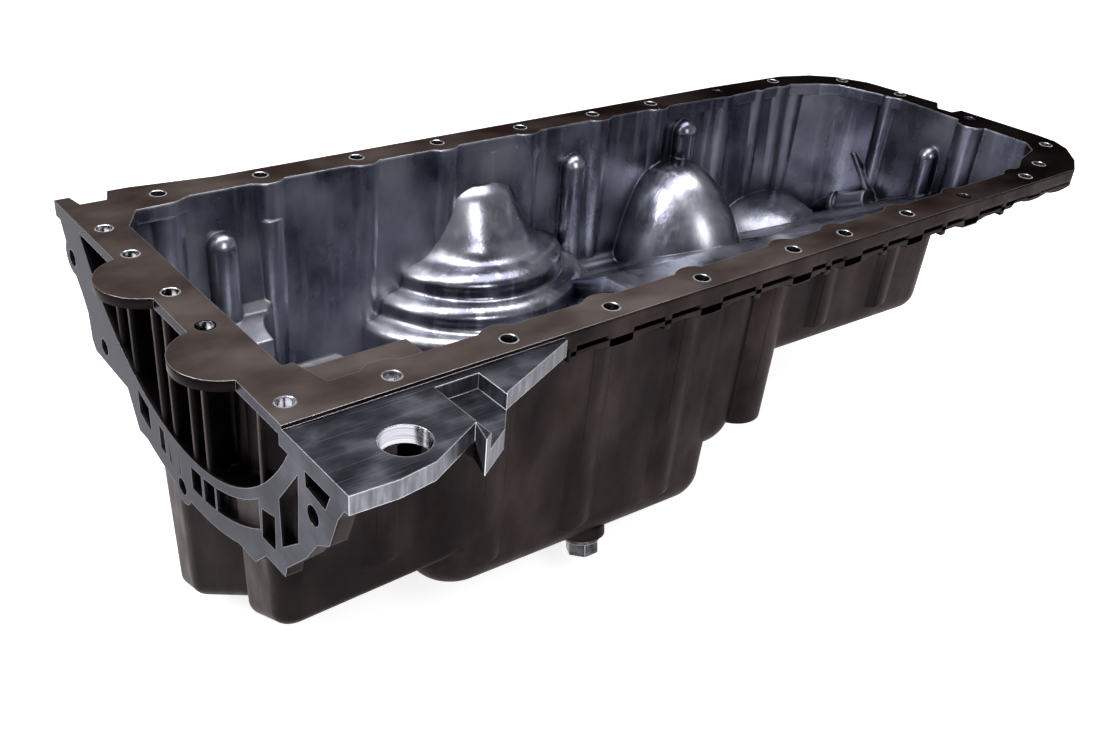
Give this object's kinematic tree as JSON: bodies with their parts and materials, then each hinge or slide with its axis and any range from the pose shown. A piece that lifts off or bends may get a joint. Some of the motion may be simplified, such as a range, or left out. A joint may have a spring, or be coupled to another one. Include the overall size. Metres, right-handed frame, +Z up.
{
  "type": "engine oil pan",
  "caption": "Deep cast oil pan with a machined rail, slanted stepped sump with inner domes, ribbed gearbox face, side bracket and drain plug.",
  "frame": {"origin": "where the gearbox face meets the rail face, midway between the two long rows of rail bolts", "axes": "+X along the crank from the gearbox end to the front, +Y across to the far rail, +Z up out of the rail face into the block"},
  "size_m": [0.751, 0.3485, 0.226],
  "materials": {
    "cast_aluminium": "satin, as cast, with machined faces",
    "plated_steel": "bright zinc plate",
    "soft_washer": "matt"
  },
  "bodies": {
    "root": {"oil_pan": "cast_aluminium", "drain_plug": "plated_steel", "plug_washer": "soft_washer"}
  },
  "joints": []
}
